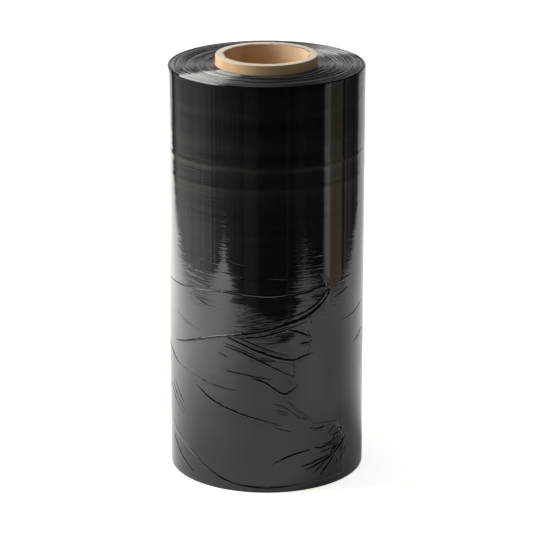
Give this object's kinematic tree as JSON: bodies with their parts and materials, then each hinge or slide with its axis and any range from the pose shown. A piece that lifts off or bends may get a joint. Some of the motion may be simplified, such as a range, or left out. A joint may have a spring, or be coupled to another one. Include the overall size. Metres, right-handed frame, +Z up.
{
  "type": "stretch wrap roll",
  "caption": "Roll of black stretch film on a spiral-wound board core, for wrapping pallets; it stands on its end, with a loose torn outer turn.",
  "frame": {"origin": "on the roll's axis, in the plane of its lower end, which it stands on", "axes": "+Z up along the roll's axis; -Y is the front, where the outer turn ends at a torn edge"},
  "size_m": [0.1791, 0.1797, 0.3895],
  "materials": {
    "film": "glossy black stretch film",
    "core_board": "matt kraft board"
  },
  "bodies": {
    "root": {"core_tube": "core_board", "film_roll": "film"}
  },
  "joints": []
}
